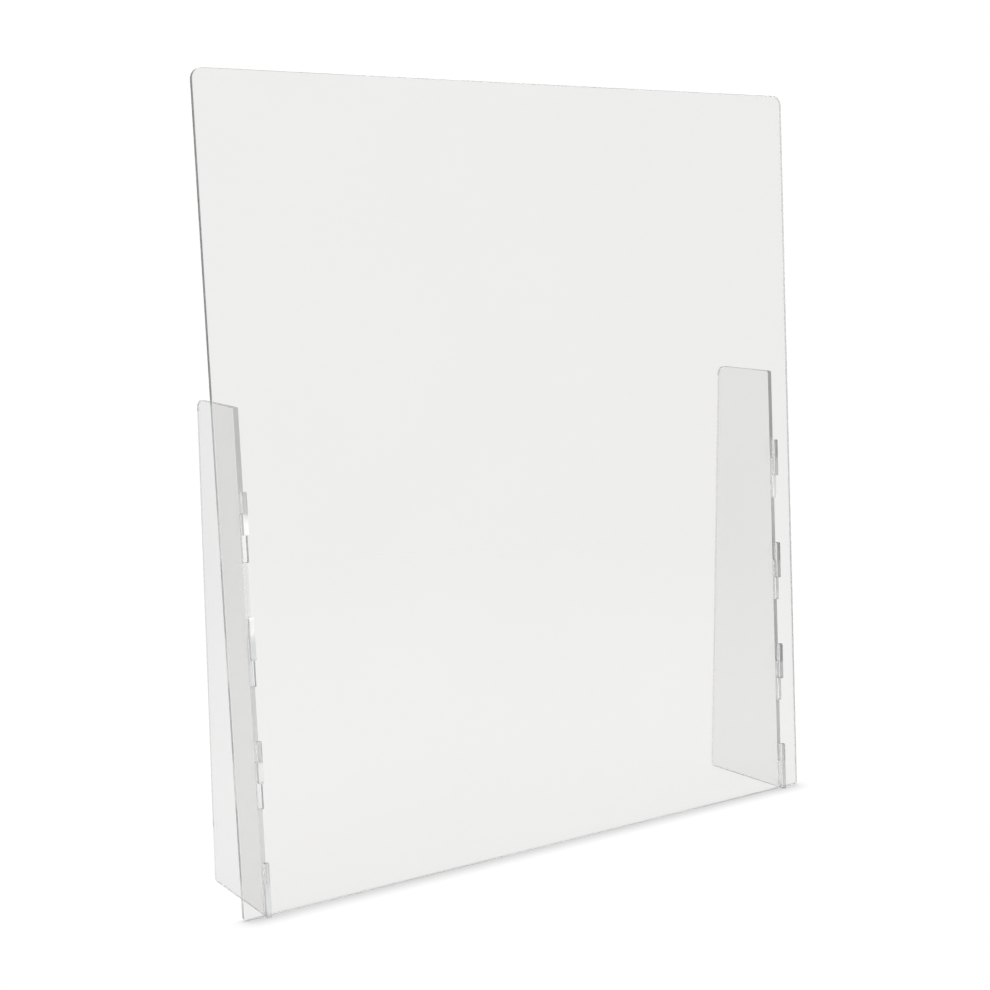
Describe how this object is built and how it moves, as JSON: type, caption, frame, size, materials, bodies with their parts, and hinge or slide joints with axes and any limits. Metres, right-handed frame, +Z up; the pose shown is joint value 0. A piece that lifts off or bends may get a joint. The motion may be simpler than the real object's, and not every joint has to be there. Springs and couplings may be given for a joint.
{
  "type": "countertop shield",
  "caption": "Free-standing clear acrylic privacy and splash shield for a desk or counter: a large flat sheet that hooks onto two tapered side wings.",
  "frame": {"origin": "middle of the footprint, on the surface that the shield stands on", "axes": "+Z up, +X along the shield to the viewer's right, -Y the way the shield faces, +Y back along the wings"},
  "size_m": [0.8064, 0.1524, 0.9144],
  "materials": {
    "shield_sheet": "polished",
    "wing_sheet": "polished"
  },
  "bodies": {
    "left_foot": {"left_wing": "wing_sheet"},
    "shield": {"front_shield": "shield_sheet"},
    "right_foot": {"right_wing": "wing_sheet"}
  },
  "joints": [
    {"name": "shield_lift", "type": "slide", "parent": "left_foot", "child": "shield", "axis": [0, 0, 1], "range_m": [0, 0.0297]},
    {"name": "right_foot_stay", "type": "slide", "parent": "shield", "child": "right_foot", "axis": [0, 0, -1], "range_m": [0, 0.0297]}
  ],
  "couplings": [
    {"joint": "right_foot_stay", "follows": "shield_lift", "ratio": 1}
  ]
}
